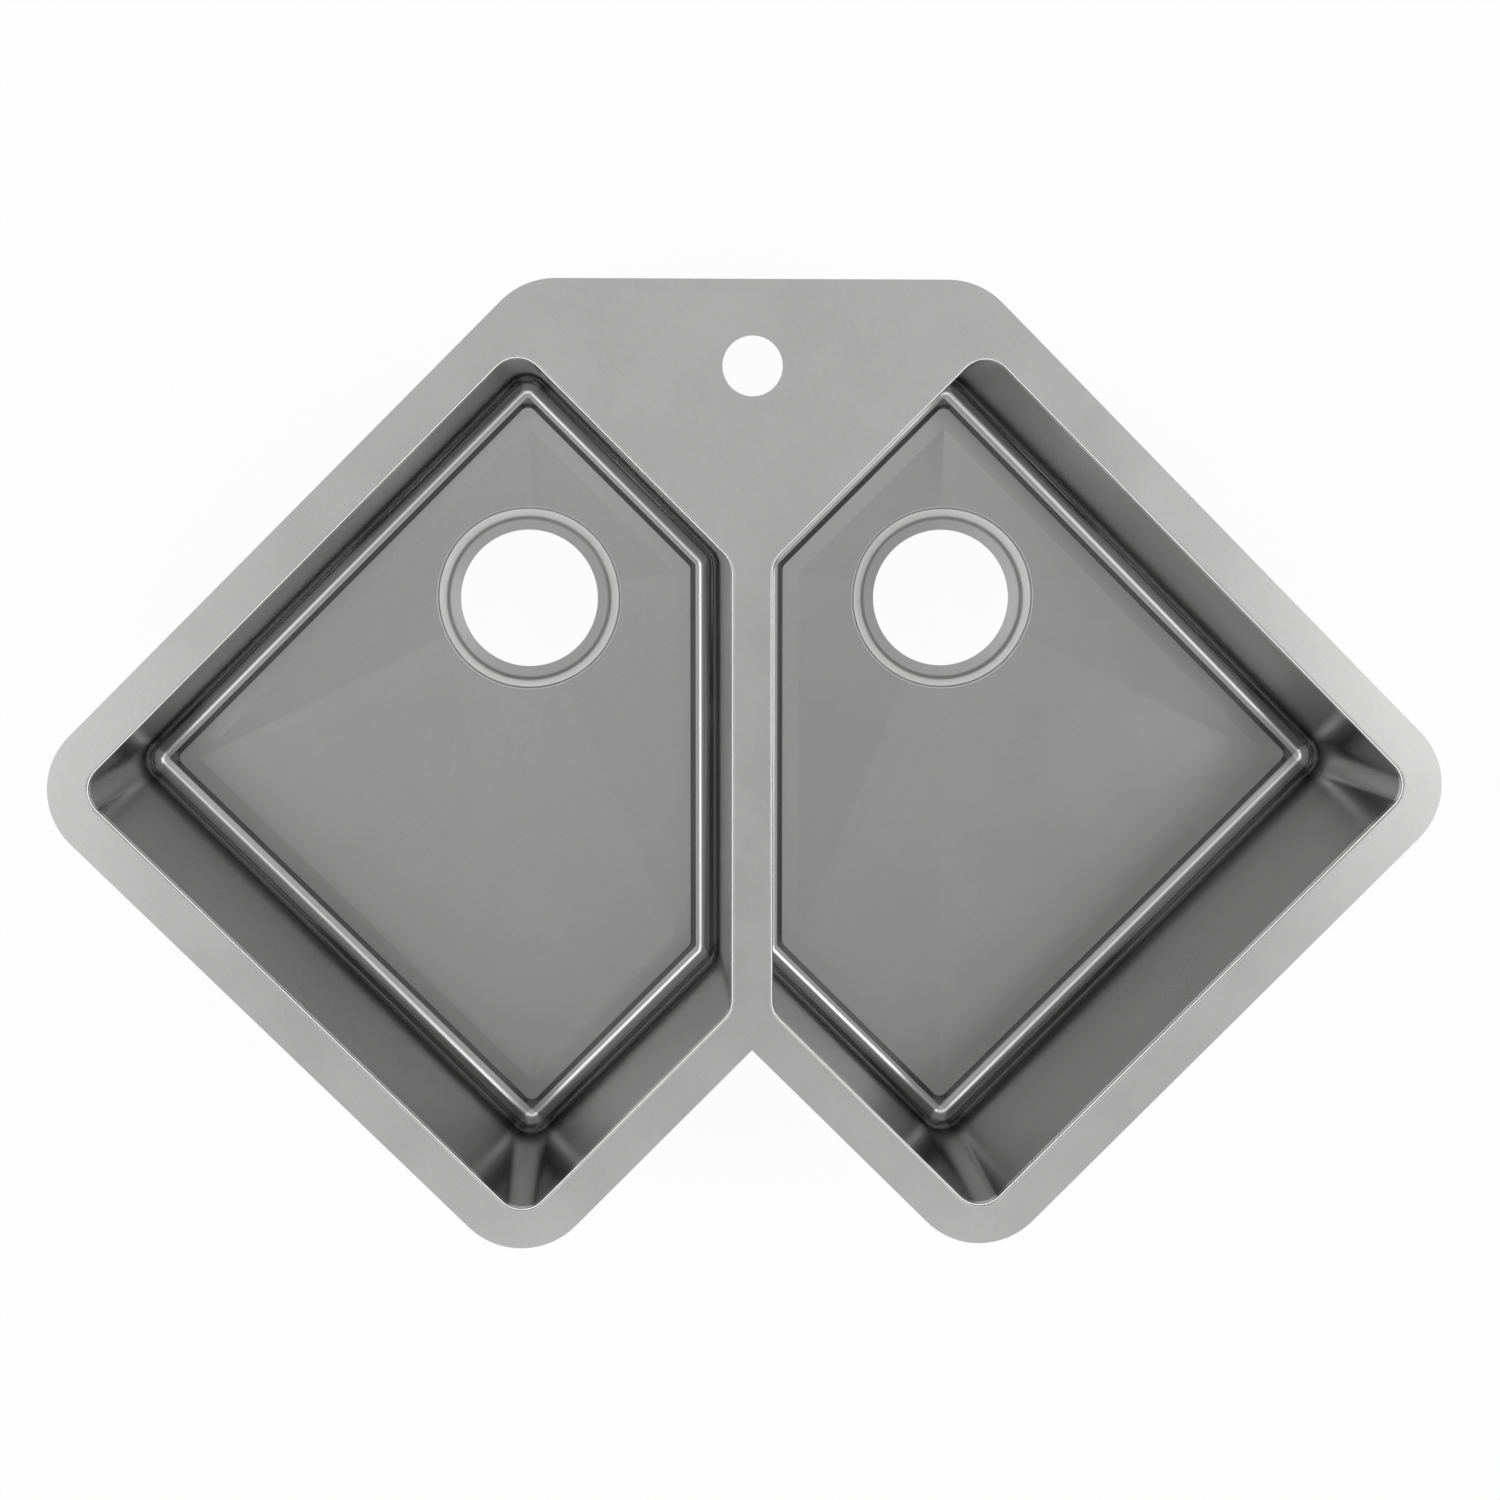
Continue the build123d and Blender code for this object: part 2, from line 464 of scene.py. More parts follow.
@dataclass
class Deck:
    """The pressed deck: flange, bridge, tap hole and the two turned-down collars.

    A band of quads, as wide as the margin, follows each edge and gives the rolled rims a clean
    start. The flat web between the bands is filled last.
    """

    sizes: SinkSizes
    margin: float = 2.2 * MM
    rim_roll: float = 1.8 * MM
    rim_profile: float = 0.38
    rim_steps: int = 8
    steps: int = 16
    tap_hole_steps: int = 72

    def build(self) -> bpy.types.Object:
        """Model the deck as one sheet.

        Returns:
            The finished piece.
        """
        s = self.sizes
        bench = Bench.empty("deck_sheet")
        corners = s.deck_corners()
        self.ring(bench, corners, [0] + [s.deck_corner_radius] * (len(corners) - 1))
        for side in Side:
            plan = s.bowl_corners(-self.margin, 0)
            if side is Side.LEFT:
                plan = [Vector((-corner.x, corner.y, corner.z)) for corner in reversed(plan)]
            self.ring(bench, plan, [s.bowl_corner_radius + self.margin] * len(plan), keep=True)
            bench.extrude(Vector((0, 0, -s.collar_depth)))
            bpy.ops.mesh.delete(type="FACE")
        self.tap_hole(bench)
        bench.pick(Part.EDGES, self.bounds_web)
        bpy.ops.mesh.fill(use_beauty=True)
        bench.face_side(Vector((0, -s.bowl_centre / 2, 0)), UP)
        bench.pick(Part.EDGES, self.on_rim)
        bpy.ops.mesh.bevel(
            offset=self.rim_roll, segments=self.rim_steps, affect="EDGES", profile=self.rim_profile,
            offset_type="OFFSET")
        # Faces that are not level, the rolled rim and the collars, take the rim's near-white steel: a
        # painted highlight.
        for face in bench.mesh().faces:
            zone = DeckZone.TOP if face.normal.z > LEVEL_NORMAL else DeckZone.RIM
            face.material_index = zone.value
        return bench.finish(s.deck_sheet, back_slot=DeckZone.RIM.value, edge_slot=DeckZone.RIM.value)

    def ring(
            self, bench: Bench, corners: Sequence[Vector], radii: Sequence[float],
            keep: bool = False) -> None:
        """Draw a closed outline and turn its rim into a narrow band of quads.

        Args:
            bench: The deck on the bench.
            corners: The outline's corners.
            radii: Their radii.
            keep: Whether the face inside the band stays, selected.
        """
        bench.trace(corners, radii, self.steps)
        bench.pick(Part.EDGES, lambda edge: not edge.link_faces)
        bpy.ops.mesh.edge_face_add()
        bpy.ops.mesh.select_mode(type="FACE")
        bpy.ops.mesh.inset(thickness=self.margin, depth=0, use_even_offset=True)
        if not keep:
            bpy.ops.mesh.delete(type="FACE")

    def tap_hole(self, bench: Bench) -> None:
        """Draw the tap hole as a narrow band of quads round its edge.

        Args:
            bench: The deck on the bench.
        """
        s = self.sizes
        bpy.ops.mesh.select_all(action="DESELECT")
        bpy.ops.mesh.primitive_circle_add(
            vertices=self.tap_hole_steps, radius=s.tap_hole_radius + self.margin, fill_type="NGON",
            location=s.tap_hole)
        bpy.ops.mesh.select_mode(type="FACE")
        bpy.ops.mesh.inset(thickness=self.margin, depth=0, use_even_offset=True)
        bpy.ops.mesh.delete(type="FACE")

    def bounds_web(self, edge: bmesh.types.BMEdge) -> bool:
        """Whether an edge is open and borders the flat web between the bands.

        Args:
            edge: The edge.

        Returns:
            Whether the web ends there, other than on the deck's outline.
        """
        s = self.sizes
        middle = middle_of(edge)
        if len(edge.link_faces) > 1 or abs(middle.z) > MERGE_DISTANCE:
            return False
        if (middle - s.tap_hole).length < s.tap_hole_radius + self.margin / 2:
            return False
        return not self.on_outline(middle)

    def on_outline(self, point: Vector) -> bool:
        """Whether a point lies on the deck's outer edge.

        Args:
            point: A point on the deck's top face.

        Returns:
            Whether it lies within half a band of it.
        """
        s = self.sizes
        side = s.bowl_centre + s.deck_reach
        x, y = abs(point.x), point.y
        back_gap = (side - x - y) / math.sqrt(2)
        front_gap = (side - x + y) / math.sqrt(2)
        notch_gap = max((y + s.deck_reach - (s.bowl_centre - x)) / math.sqrt(2), 0)
        return min(back_gap, front_gap, notch_gap, s.back_edge - y) < self.margin / 2

    def on_rim(self, edge: bmesh.types.BMEdge) -> bool:
        """Whether an edge is where the web turns down into a collar."""
        return lies_at(edge, 0) and any(abs(face.normal.z) < UPRIGHT_NORMAL for face in edge.link_faces)


@dataclass
class Bowls:
    """The two drawn bowls: walls, floor sweep, creased floor and drain recess.

    The fields from the corner's reach on tell vertices and edges apart: the reach is a distance,
    and the others are angles in radians.
    """

    sizes: SinkSizes
    steps: int = 16
    sweep_steps: int = 14
    sweep_radius: float = 14.4 * MM
    groove_depth: float = 1.0 * MM
    groove_land: float = 0.15 * MM
    flank_run: float = 3.4 * MM
    flank_steps: int = 5
    flank_lean: float = 0.001
    drain_steps: int = 30
    drain_lip_round: float = 2.2 * MM
    drain_lip_steps: int = 5
    drain_foot_round: float = 7.5 * MM
    seat_lift: float = 0.9 * MM
    corner_reach: float = 0.3 * MM
    turn_slack: float = 0.0001
    least_slope: float = 0.01
    least_crease: float = 0.003
    most_crease: float = math.radians(12)
    least_lip: float = math.radians(30)

    @property
    def bottom(self) -> float:
        """Z of the groove's bottom."""
        return -(self.sizes.bowl_depth + self.groove_depth)

    @property
    def recess_reach(self) -> float:
        """Distance from the drain's axis that takes in all of the recess."""
        return self.sizes.drain_hole_radius * 1.5

    @property
    def recess_middle(self) -> float:
        """Z half-way down the recess."""
        return self.sizes.drain_foot.z - self.sizes.drain_recess_depth / 2

    def build(self) -> dict[Side, bpy.types.Object]:
        """Model the right-hand bowl's inner skin, mirror a copy of it and give both their sheet.

        Returns:
            The finished pieces by side.
        """
        s = self.sizes
        right = Bench.empty("right_bowl_skin")
        self.walls(right)
        self.groove(right)
        self.level_band(right)
        self.recess(right)
        self.slopes(right)
        right.weld()
        # Each zone's finish has its own polish, and on the walls, groove, sweep and drain its own painted
        # shade or highlight.
        for face in right.mesh().faces:
            face.material_index = self.zone(face).value
        left = right.copy("left_bowl_skin")
        bpy.ops.mesh.select_all(action="SELECT")
        bpy.ops.transform.resize(value=(-1, 1, 1), center_override=(0, 0, 0))
        pieces = {}
        for side, skin in ((Side.RIGHT, right), (Side.LEFT, left)):
            skin.open_edit()
            wall_point = Vector((side.value * s.bridge_width / 2, 0, -s.bowl_depth / 2))
            skin.face_side(wall_point, Vector((side.value, 0, 0)))
            pieces[side] = skin.finish(s.bowl_sheet, back_slot=BowlZone.BACK.value, edge_slot=0)
        return pieces

    def zone(self, face: bmesh.types.BMFace) -> BowlZone:
        """Which part of the bowl a face belongs to; the parts have their own polish, and some their own
        painted shade or highlight.

        Args:
            face: A face of the right-hand bowl's skin.

        Returns:
            Its zone.
        """
        s = self.sizes
        centre = face.calc_center_median()
        if abs(face.normal.z) < UPRIGHT_NORMAL:
            return BowlZone.WALL
        if centre.z > MERGE_DISTANCE - s.bowl_depth:
            return BowlZone.SWEEP
        if centre.z > -MERGE_DISTANCE - s.bowl_depth or len(face.verts) > 4:
            return BowlZone.FLOOR
        if self.in_recess(face):
            return BowlZone.DRAIN
        inwards = Vector((s.bowl_centre - centre.x, -centre.y, 0)).normalized()
        faces_in = inwards.dot(face.normal) * face.normal.z > self.flank_lean
        return BowlZone.SWEEP if faces_in else BowlZone.GROOVE

    def walls(self, bench: Bench) -> None:
        """Extrude the walls down from the weld and roll them into the floor.

        Args:
            bench: The right-hand bowl's skin on the bench.
        """
        s = self.sizes
        corners = s.bowl_corners(0, -s.collar_depth)
        bench.trace(corners, [s.bowl_corner_radius] * len(corners), self.steps)
        bench.border()
        bench.extrude(Vector((0, 0, s.collar_depth + self.bottom)))
        bpy.ops.mesh.edge_face_add()
        bench.pick(Part.EDGES, lambda edge: lies_at(edge, self.bottom))
        bpy.ops.mesh.bevel(
            offset=self.sweep_radius, segments=self.sweep_steps, affect="EDGES", profile=ROUND_PROFILE,
            offset_type="OFFSET")
        bench.pick(Part.FACES, lambda face: len(face.verts) > 4)
        bpy.ops.mesh.delete(type="ONLY_FACE")

    def groove(self, bench: Bench) -> None:
        """Close the groove's bottom and raise its inner flank in a short double curve.

        Args:
            bench: The right-hand bowl's skin on the bench.
        """
        s = self.sizes
        corners = s.bowl_corners(self.sweep_radius + self.groove_land, self.bottom)
        bench.trace(corners, [s.groove_corner_radius] * len(corners), self.steps)
        bench.border(self.bottom)
        bpy.ops.mesh.fill(use_beauty=True)
        bench.pick(Part.EDGES, lambda edge: len(edge.link_faces) == 1 and lies_at(edge, self.bottom))
        bpy.ops.mesh.edge_face_add()
        bpy.ops.mesh.select_mode(type="FACE")
        steepest = 2 * math.atan(self.groove_depth / self.flank_run)
        curve = self.flank_run / 2 / math.sin(steepest)
        angles = [steepest * step / self.flank_steps for step in range(self.flank_steps + 1)]
        across = [curve * math.sin(angle) for angle in angles]
        across += [self.flank_run - value for value in reversed(across[:-1])]
        across.append(s.floor_inset - self.sweep_radius - self.groove_land)
        height = [curve * (1 - math.cos(angle)) for angle in angles]
        height += [self.groove_depth - value for value in reversed(height[:-1])]
        height.append(self.groove_depth)
        for index in range(1, len(across)):
            bpy.ops.mesh.inset(thickness=across[index] - across[index - 1], depth=0, use_even_offset=True)
            bpy.ops.transform.translate(value=(0, 0, height[index] - height[index - 1]))
        bpy.ops.mesh.delete(type="ONLY_FACE")

    def level_band(self, bench: Bench) -> None:
        """Fill the level band between the groove and the creases.

        Args:
            bench: The right-hand bowl's skin on the bench.
        """
        corners = self.crease_corners()
        bench.trace(corners, [0] * len(corners), self.steps)
        bench.border(-self.sizes.bowl_depth)
        bpy.ops.mesh.fill(use_beauty=True)

    def crease_corners(self) -> list[Vector]:
        """Corners of the creased part of the floor, anticlockwise from the outer one."""
        s = self.sizes
        return s.bowl_corners(s.floor_inset + s.floor_margin, -s.bowl_depth)

    def azimuth(self, point: Vector) -> float:
        """Angle of a point round the drain's axis, from the outer crease, within one turn.

        Args:
            point: The point.

        Returns:
            The angle in radians, anticlockwise.
        """
        foot = self.sizes.drain_foot
        first = self.crease_corners()[0]
        angle = math.atan2(point.y - foot.y, point.x - foot.x)
        return (angle - math.atan2(first.y - foot.y, first.x - foot.x)) % FULL_TURN

    def sector_ends(self) -> list[tuple[float, float]]:
        """Where each slope starts and ends round the drain's axis."""
        starts = [self.azimuth(corner) for corner in self.crease_corners()]
        return list(zip(starts, starts[1:] + [FULL_TURN]))

    def slope_normal(self, index: int) -> Vector:
        """Upward normal of a slope, not of unit length, by the slope's number round the drain."""
        foot, corners = self.sizes.drain_foot, self.crease_corners()
        return (corners[index] - foot).cross(corners[(index + 1) % len(corners)] - foot)

    def slope_height(self, point: Vector) -> float:
        """How far a point lies above the slope of its sector.

        Args:
            point: The point.

        Returns:
            The height, negative under the slope.
        """
        here = self.azimuth(point)
        for index, (start, end) in enumerate(self.sector_ends()):
            if start <= here <= end:
                return (point - self.sizes.drain_foot).dot(self.slope_normal(index).normalized())
        raise ValueError("a point lies in no sector")

    def recess(self, bench: Bench) -> None:
        """Spin the recess's section round the drain's axis and trim it to the slopes.

        Args:
            bench: The right-hand bowl's skin on the bench.
        """
        s = self.sizes
        foot, first = s.drain_foot, self.crease_corners()[0]
        seat_radius = s.drain_hole_radius + s.drain_seat_width
        hole_level = foot.z - s.drain_recess_depth - s.drain_seat_fall
        seat_level = hole_level + s.drain_seat_fall + self.seat_lift
        run = s.drain_wall_run / s.recess_wall_depth
        rise = s.drain_recess_depth + s.floor_fall - self.seat_lift
        outward = Vector((first.x - foot.x, first.y - foot.y, 0)).normalized()
        axis = Vector((foot.x, foot.y, 0))
        section = [
            axis + outward * (seat_radius + run * rise) + UP * (seat_level + rise),
            axis + outward * seat_radius + UP * seat_level,
            axis + outward * s.drain_hole_radius + UP * hole_level,
        ]
        bench.trace(section, [0, self.drain_foot_round, 0], self.steps, closed=False)
        bench.pick(Part.EDGES, lambda edge: not edge.link_faces)
        for start, end in self.sector_ends():
            bench.spin(foot, UP, end - start, arc_segments(end - start, self.drain_steps))
        bench.weld()
        for index, (start, end) in enumerate(self.sector_ends()):
            bench.pick(Part.FACES, lambda face: self.in_sector(face, start, end))
            bpy.ops.mesh.bisect(
                plane_co=foot, plane_no=self.slope_normal(index), threshold=MERGE_DISTANCE)
        bench.pick(Part.FACES, self.above_slopes)
        bpy.ops.mesh.delete(type="FACE")

    def in_recess(self, face: bmesh.types.BMFace) -> bool:
        """Whether a face belongs to the spun recess."""
        centre = face.calc_center_median()
        return centre.z < -self.sizes.bowl_depth and self.radius(centre) < self.recess_reach

    def in_sector(self, face: bmesh.types.BMFace, start: float, end: float) -> bool:
        """Whether a face belongs to the recess between two creases."""
        return self.in_recess(face) and start < self.azimuth(face.calc_center_median()) < end

    def above_slopes(self, face: bmesh.types.BMFace) -> bool:
        """Whether a face belongs to the recess and stands out above the floor's slopes."""
        return self.in_recess(face) and self.slope_height(face.calc_center_median()) > 0

    def radius(self, point: Vector) -> float:
        """Distance of a point from the drain's axis."""
        foot = self.sizes.drain_foot
        return math.hypot(point.x - foot.x, point.y - foot.y)

    def slopes(self, bench: Bench) -> None:
        """Join the lip to the creases' corners, fill the five slopes and round the lip.

        Args:
            bench: The right-hand bowl's skin on the bench.
        """
        s = self.sizes
        for corner in self.crease_corners():
            lip = self.lip_end(bench, corner)
            bench.pick(Part.VERTS, lambda vert: min(
                (vert.co - corner).length, (vert.co - lip).length) < self.corner_reach)
            bpy.ops.mesh.edge_face_add()
        for start, end in self.sector_ends():
            bench.pick(Part.EDGES, lambda edge: self.bounds_slope(edge, start, end))
            bpy.ops.mesh.edge_face_add()
        bench.weld()
        bench.pick(Part.EDGES, self.on_crease)
        bpy.ops.mesh.mark_sharp()
        bench.pick(Part.EDGES, self.on_lip)
        steepness = math.atan2(s.recess_wall_depth, s.drain_wall_run)
        bpy.ops.mesh.bevel(
            offset=self.drain_lip_round * math.tan(steepness / 2), segments=self.drain_lip_steps,
            affect="EDGES", profile=ROUND_PROFILE, offset_type="OFFSET")

    def lip_end(self, bench: Bench, corner: Vector) -> Vector:
        """The lip's vertex that is nearest the crease from a corner.

        Args:
            bench: The right-hand bowl's skin on the bench.
            corner: The corner that the crease starts from.

        Returns:
            Where that vertex is.
        """
        least = self.sizes.drain_hole_radius + self.corner_reach
        lip = (vert for vert in bench.mesh().verts if vert.is_boundary and self.radius(vert.co) > least)
        nearest = min(lip, key=lambda vert: self.radius(vert.co) + abs(
            math.sin((self.azimuth(vert.co) - self.azimuth(corner)) / 2)))
        return nearest.co.copy()

    def bounds_slope(self, edge: bmesh.types.BMEdge, start: float, end: float) -> bool:
        """Whether an open edge borders the slope between two creases.

        Args:
            edge: The edge.
            start: Where the slope starts round the drain's axis, in radians.
            end: Where it ends.

        Returns:
            Whether it does.
        """
        s = self.sizes
        middle = middle_of(edge)
        if len(edge.link_faces) > 1 or middle.z > MERGE_DISTANCE - s.bowl_depth:
            return False
        if self.radius(middle) < s.drain_hole_radius + s.drain_seat_width / 2:
            return False
        here, slack = self.azimuth(middle), self.turn_slack
        if start - slack < here < end + slack:
            return True
        before_start = start < slack and here > FULL_TURN - slack
        past_end = end > FULL_TURN - slack and here < slack
        return before_start or past_end

    def on_crease(self, edge: bmesh.types.BMEdge) -> bool:
        """Whether an edge is where a slope meets its neighbour or the level band.

        Args:
            edge: The edge.

        Returns:
            Whether it is, and bends enough to be seen.
        """
        if len(edge.link_faces) != 2 or any(vert.co.z < self.recess_middle for vert in edge.verts):
            return False
        first, second = (face.normal for face in edge.link_faces)
        on_slope = any(
            len(face.verts) > 4 and face.normal.angle(UP) % math.pi > self.least_slope
            for face in edge.link_faces)
        return on_slope and self.least_crease < first.angle(second) < self.most_crease

    def on_lip(self, edge: bmesh.types.BMEdge) -> bool:
        """Whether an edge is where the slopes drop into the recess.

        Args:
            edge: The edge.

        Returns:
            Whether it is.
        """
        if len(edge.link_faces) != 2 or any(self.radius(vert.co) > self.recess_reach for vert in edge.verts):
            return False
        first, second = (face.normal for face in edge.link_faces)
        high = all(vert.co.z > self.recess_middle for vert in edge.verts)
        return high and first.angle(second) > self.least_lip


class NodeSheet:
    """Places nodes in a tree and joins their sockets."""

    def __init__(self, tree: bpy.types.NodeTree) -> None:
        """Take a node tree and empty it.

        Args:
            tree: A material's, a world's or a group's node tree.
        """
        self.tree = tree
        self.tree.nodes.clear()

    def add(self, kind: str, **sockets: object) -> bpy.types.Node:
        """Add a node and fill its inputs.

        Args:
            kind: The node's Blender type.
            sockets: Values or output sockets by input name, with underscores for spaces.

        Returns:
            The node.
        """
        node = self.tree.nodes.new(kind)
        for name, value in sockets.items():
            self.feed(node.inputs[name.replace("_", " ")], value)
        return node

    def feed(self, socket: bpy.types.NodeSocket, value: object) -> None:
        """Give an input a value, or join an output to it.

        Args:
            socket: The input.
            value: A value or an output.
        """
        if isinstance(value, bpy.types.NodeSocket):
            self.tree.links.new(value, socket)
        else:
            socket.default_value = value

    def combine(self, operation: str, first: object, second: object) -> bpy.types.NodeSocket:
        """Work one value out of two.

        Args:
            operation: The Math node's operation.
            first: A value or an output.
            second: The other one.

        Returns:
            The result's output.
        """
        node = self.add("ShaderNodeMath")
        node.operation = operation
        self.feed(node.inputs[0], first)
        self.feed(node.inputs[1], second)
        return node.outputs["Value"]

    def spread(
            self, value: bpy.types.NodeSocket, low: float, high: float,
            ends: tuple[float, float] = (0.0, 1.0)) -> bpy.types.NodeSocket:
        """Map a mask from one span to another.

        Args:
            value: The mask.
            low: What the lower end becomes.
            high: What the upper end becomes.
            ends: The mask's own span.

        Returns:
            The mapped output.
        """
        node = self.add(
            "ShaderNodeMapRange", Value=value, From_Min=ends[0], From_Max=ends[1], To_Min=low, To_Max=high)
        return node.outputs["Result"]

    def grey(self, value: bpy.types.NodeSocket, tint: tuple[float, float, float]) -> bpy.types.NodeSocket:
        """Turn a brightness into a colour of one tint.

        Args:
            value: The brightness.
            tint: Red, green and blue at a brightness of one.

        Returns:
            The colour's output.
        """
        scale = self.add("ShaderNodeVectorMath")
        scale.operation = "SCALE"
        scale.inputs[0].default_value = tint
        self.feed(scale.inputs["Scale"], value)
        return scale.outputs["Vector"]


def grain_group() -> bpy.types.NodeTree:
    """Shader group of metal grain: long fine streaks, short scratches and broad uneven patches.

    Returns:
        The group, built once and used by every steel finish.
    """
    name = "steel_grain"
    if name in bpy.data.node_groups:
        return bpy.data.node_groups[name]
    tree = bpy.data.node_groups.new(name, "ShaderNodeTree")
    sheet = NodeSheet(tree)
    tree.interface.new_socket("Vector", in_out="INPUT", socket_type="NodeSocketVector")
    for label in ("Streak Fineness", "Scratch Fineness", "Patch Fineness", "Stretch"):
        tree.interface.new_socket(label, in_out="INPUT", socket_type="NodeSocketFloat")
    given = sheet.add("NodeGroupInput").outputs
    out = sheet.add("NodeGroupOutput")
    narrow = sheet.add("ShaderNodeCombineXYZ", X=given["Stretch"], Y=1.0, Z=1.0)
    drawn = sheet.add("ShaderNodeVectorMath")
    drawn.operation = "MULTIPLY"
    sheet.feed(drawn.inputs[0], given["Vector"])
    sheet.feed(drawn.inputs[1], narrow.outputs["Vector"])
    noises = (
        ("Streak", drawn.outputs["Vector"], 1.0, 0.5),
        ("Scratch", drawn.outputs["Vector"], 2.0, 0.75),
        ("Patch", given["Vector"], 3.0, 0.5),
    )
    for label, place, detail, roughness in noises:
        tree.interface.new_socket(label, in_out="OUTPUT", socket_type="NodeSocketFloat")
        noise = sheet.add(
            "ShaderNodeTexNoise", Vector=place, Scale=given[f"{label} Fineness"], Detail=detail,
            Roughness=roughness)
        sheet.feed(out.inputs[label], noise.outputs["Fac"])
    return tree


@dataclass(frozen=True)
class SteelFinish:
    """Steel, bare or zinc-plated, with a grain that can be drawn out along one direction.

    Each play is how far a value strays either way. The fineness counts grains in a metre, and
    the stretch is its share along the grain's angle, which is in degrees from +X.
    """

    name: str
    tone: float
    tone_play: float
    roughness: float
    roughness_play: float
    bump: float
    cloud_play: float = 0.0
    # Tint of the reflection at grazing angles; lowered on the walls and groove as painted shade.
    edge_tone: float = 1.0
    grain_angle: float = 40.0
    fineness: float = 1400.0
    scratch_share: float = 0.31
    patch_fineness: float = 20.0
    stretch: float = 0.1
    scratch_depth: float = 0.02 * MM
    tint: tuple[float, float, float] = (1.0, 1.0, 0.995)

    def material(self) -> bpy.types.Material:
        """Make the finish.

        Returns:
            The material.
        """
        material = bpy.data.materials.new(self.name)
        material.use_nodes = True
        sheet = NodeSheet(material.node_tree)
        place = sheet.add("ShaderNodeTexCoord").outputs["Object"]
        turn = (0.0, 0.0, math.radians(-self.grain_angle))
        turned = sheet.add("ShaderNodeMapping", Vector=place, Rotation=turn)
        grain = sheet.add("ShaderNodeGroup")
        grain.node_tree = grain_group()
        sheet.feed(grain.inputs["Vector"], turned.outputs["Vector"])
        grain.inputs["Streak Fineness"].default_value = self.fineness
        grain.inputs["Scratch Fineness"].default_value = self.fineness * self.scratch_share
        grain.inputs["Patch Fineness"].default_value = self.patch_fineness
        grain.inputs["Stretch"].default_value = self.stretch
        low, high = self.tone - self.tone_play, self.tone + self.tone_play
        streaks = sheet.spread(grain.outputs["Streak"], low, high, NOISE_SPAN)
        clouds = sheet.spread(grain.outputs["Patch"], -self.cloud_play, self.cloud_play, NOISE_SPAN)
        tone = sheet.combine("ADD", streaks, clouds)
        low, high = self.roughness - self.roughness_play, self.roughness + self.roughness_play
        rough = sheet.spread(grain.outputs["Patch"], low, high, NOISE_SPAN)
        scratches = grain.outputs["Scratch"]
        bump = sheet.add("ShaderNodeBump", Strength=self.bump, Distance=self.scratch_depth, Height=scratches)
        edge = (self.edge_tone, self.edge_tone, self.edge_tone, 1.0)
        shader = sheet.add(
            "ShaderNodeBsdfPrincipled", Base_Color=sheet.grey(tone, self.tint), Metallic=1.0,
            Roughness=rough, Normal=bump.outputs["Normal"], Specular_Tint=edge)
        sheet.add("ShaderNodeOutputMaterial", Surface=shader.outputs["BSDF"])
        return material


@dataclass(frozen=True)
class CoatFinish:
    """A matt sprayed or moulded layer with a pebbled surface.

    Each play is how far a value strays either way. The fineness counts pebbles in a metre.
    """

    name: str
    tone: float
    tone_play: float
    roughness: float
    fineness: float
    bump: float
    roughness_play: float = 0.08
    pebbles_in_cloud: float = 20.0
    cloud_detail: float = 4.0
    widest_pebble: float = 0.8
    pebble_depth: float = 0.4 * MM
    tint: tuple[float, float, float] = (1.0, 1.0, 1.0)

    def material(self) -> bpy.types.Material:
        """Make the finish.

        Returns:
            The material.
        """
        material = bpy.data.materials.new(self.name)
        material.use_nodes = True
        sheet = NodeSheet(material.node_tree)
        place = sheet.add("ShaderNodeTexCoord").outputs["Object"]
        pebbles = sheet.add("ShaderNodeTexVoronoi", Vector=place, Scale=self.fineness).outputs["Distance"]
        cloud = sheet.add(
            "ShaderNodeTexNoise", Vector=place, Scale=self.fineness / self.pebbles_in_cloud,
            Detail=self.cloud_detail)
        low, high = self.tone - self.tone_play, self.tone + self.tone_play
        tone = sheet.spread(cloud.outputs["Fac"], low, high, NOISE_SPAN)
        low, high = self.roughness - self.roughness_play, self.roughness + self.roughness_play
        rough = sheet.spread(pebbles, low, high, (0.0, self.widest_pebble))
        bump = sheet.add("ShaderNodeBump", Strength=self.bump, Distance=self.pebble_depth, Height=pebbles)
        shader = sheet.add(
            "ShaderNodeBsdfPrincipled", Base_Color=sheet.grey(tone, self.tint), Roughness=rough,
            Normal=bump.outputs["Normal"])
        sheet.add("ShaderNodeOutputMaterial", Surface=shader.outputs["BSDF"])
        return material


DECK_STEEL = SteelFinish(
    "brushed_deck_steel", tone=0.66, tone_play=0.016, roughness=0.29, roughness_play=0.02, bump=0.02,
    cloud_play=0.02, grain_angle=-47.0, fineness=1100.0)
# Near-white steel on the rolled rim, collars, back and cut edges of the deck: a painted highlight, on a
# slightly smoother finish.
RIM_STEEL = SteelFinish(
    "rim_steel_painted_highlight", tone=0.98, tone_play=0.01, roughness=0.22, roughness_play=0.01, bump=0.02)
FLOOR_STEEL = SteelFinish(
    "satin_floor_steel", tone=0.56, tone_play=0.01, roughness=0.19, roughness_play=0.01, bump=0.03,
    cloud_play=0.006)
# Very dark steel with a weak reflection at grazing angles in the groove round the floor: painted shade along
# the groove.
GROOVE_STEEL = SteelFinish(
    "groove_steel_painted_shade", tone=0.25, tone_play=0.01, roughness=0.18, roughness_play=0.01, bump=0.01,
    edge_tone=0.55)
# Rougher steel in the drain recess, much lighter than the floor: a painted sheen, on a matt finish.
DRAIN_STEEL = SteelFinish(
    "satin_drain_steel_painted_sheen", tone=0.85, tone_play=0.01, roughness=0.45, roughness_play=0.02, bump=0.02,
    cloud_play=0.01)
